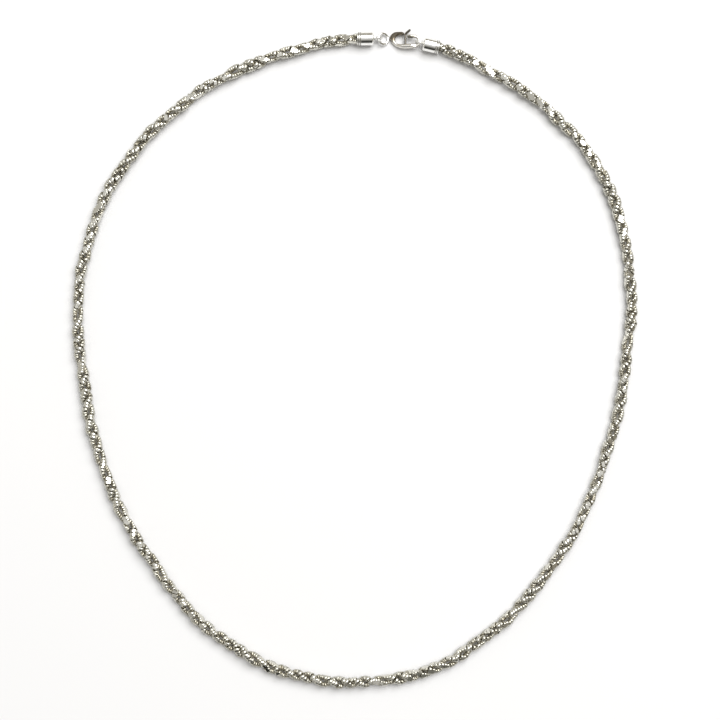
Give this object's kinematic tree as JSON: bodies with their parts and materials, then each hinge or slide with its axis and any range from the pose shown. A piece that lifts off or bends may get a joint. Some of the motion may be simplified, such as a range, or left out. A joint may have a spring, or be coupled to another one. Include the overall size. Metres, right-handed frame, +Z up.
{
  "type": "rope chain necklace",
  "caption": "Silver rope chain necklace laid flat in an open oval, with barrel end caps, a jump ring and a sprung lobster clasp.",
  "frame": {"origin": "middle of the necklace's outline, on the surface that it lies on", "axes": "+Z up from the surface, +Y across the loop towards the clasp, +X to the right as seen from above with the clasp at the top"},
  "size_m": [0.167, 0.1953, 0.0041],
  "materials": {
    "rope_silver": "diamond-cut polished silver with darkened gaps between the links",
    "polished_silver": "polished silver",
    "clasp_silver": "cast and tumbled silver, softly polished"
  },
  "bodies": {
    "necklace": {"rope_chain": "rope_silver", "left_end_cap": "polished_silver", "right_end_cap": "polished_silver", "jump_ring": "polished_silver", "clasp_body": "clasp_silver", "clasp_pin": "clasp_silver"},
    "lever": {"clasp_lever": "clasp_silver"}
  },
  "joints": [
    {"name": "clasp_lever_hinge", "type": "hinge", "parent": "necklace", "child": "lever", "pos_m": [0.01697, 0.09271, 0.00173], "axis": [0.1828, -0.0008, -0.9832], "range_deg": [0, 22], "stiffness_Nm_per_rad": 0.0005, "springref_deg": -20.05}
  ]
}
